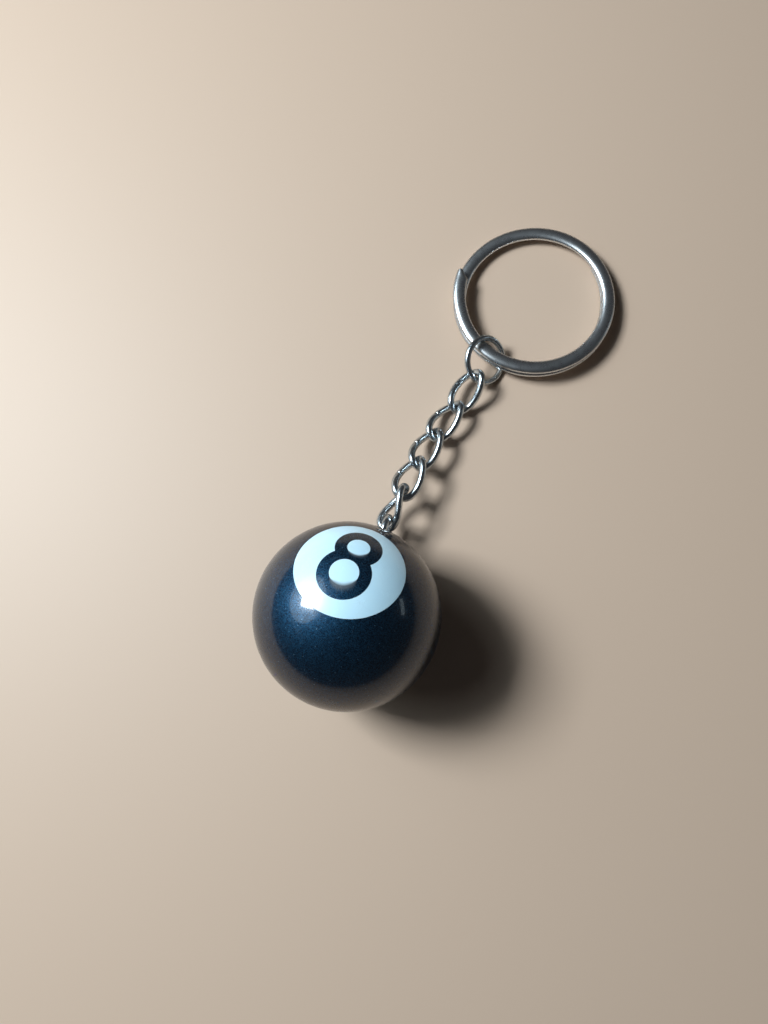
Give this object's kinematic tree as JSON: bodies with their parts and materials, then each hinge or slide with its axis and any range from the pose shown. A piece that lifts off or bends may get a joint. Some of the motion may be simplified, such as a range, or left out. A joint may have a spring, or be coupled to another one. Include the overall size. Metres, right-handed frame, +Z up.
{
  "type": "numbered ball key ring",
  "caption": "Key ring charm: a small glossy numbered pool ball on a short twisted curb chain, joined by a jump ring to a flat split ring.",
  "frame": {"origin": "centre of the split ring, halfway between the outer faces of its two coils", "axes": "-Y points from the split ring along the chain to the ball, as the key ring lies on a table; +Z is up from the table; the split ring's own axis leans about 3 degrees from +Z towards +Y"},
  "size_m": [0.0255, 0.0817, 0.0254],
  "materials": {
    "black_resin": "polished, with a fine metallic speckle",
    "white_resin": "polished",
    "black_figure": "polished",
    "adhesive": "cured clear glue",
    "chain_plating": "bright nickel plate over steel, lightly rubbed",
    "ring_plating": "bright nickel plate over steel, scuffed by keys"
  },
  "bodies": {
    "ball": {"ball_body": "black_resin", "number_spot_front": "white_resin", "number_figure_front": "black_figure", "number_spot_back": "white_resin", "number_figure_back": "black_figure", "screw_eye": "chain_plating", "thread_adhesive": "adhesive"},
    "link_5": {"link_5": "chain_plating"},
    "link_4": {"link_4": "chain_plating"},
    "link_3": {"link_3": "chain_plating"},
    "link_2": {"link_2": "chain_plating"},
    "link_1": {"link_1": "chain_plating"},
    "jump_ring": {"jump_ring": "chain_plating"},
    "split_ring": {"split_ring": "ring_plating"}
  },
  "joints": [
    {"name": "link_5_swing", "type": "hinge", "parent": "ball", "child": "link_5", "pos_m": [-0.00257, -0.04159, 0.00379], "axis": [0.0459, -0.4546, 0.8895], "range_deg": [-60, 9]},
    {"name": "link_4_swing", "type": "hinge", "parent": "link_5", "child": "link_4", "pos_m": [-0.00257, -0.03657, 0.00235], "axis": [-0.0718, -0.6614, -0.7466], "range_deg": [-15, 60]},
    {"name": "link_3_swing", "type": "hinge", "parent": "link_4", "child": "link_3", "pos_m": [-0.00317, -0.03238, 0.00203], "axis": [0.8721, -0.1822, -0.4542], "range_deg": [-57, 36]},
    {"name": "link_2_swing", "type": "hinge", "parent": "link_3", "child": "link_2", "pos_m": [-0.00336, -0.02592, -0.00004], "axis": [-0.5835, -0.3803, -0.7176], "range_deg": [-75, 12]},
    {"name": "link_1_swing", "type": "hinge", "parent": "link_2", "child": "link_1", "pos_m": [-0.00248, -0.02148, -0.00005], "axis": [0.7897, -0.0211, -0.6131], "range_deg": [-60, 60]},
    {"name": "jump_ring_swing", "type": "hinge", "parent": "link_1", "child": "jump_ring", "pos_m": [-0.00189, -0.01588, 0.0008], "axis": [-0.7672, 0.0044, 0.6414], "range_deg": [-75, 75]},
    {"name": "split_ring_slide_round", "type": "hinge", "parent": "jump_ring", "child": "split_ring", "pos_m": [0, 0, 0], "axis": [0, 0.0541, 0.9985], "continuous": true}
  ]
}
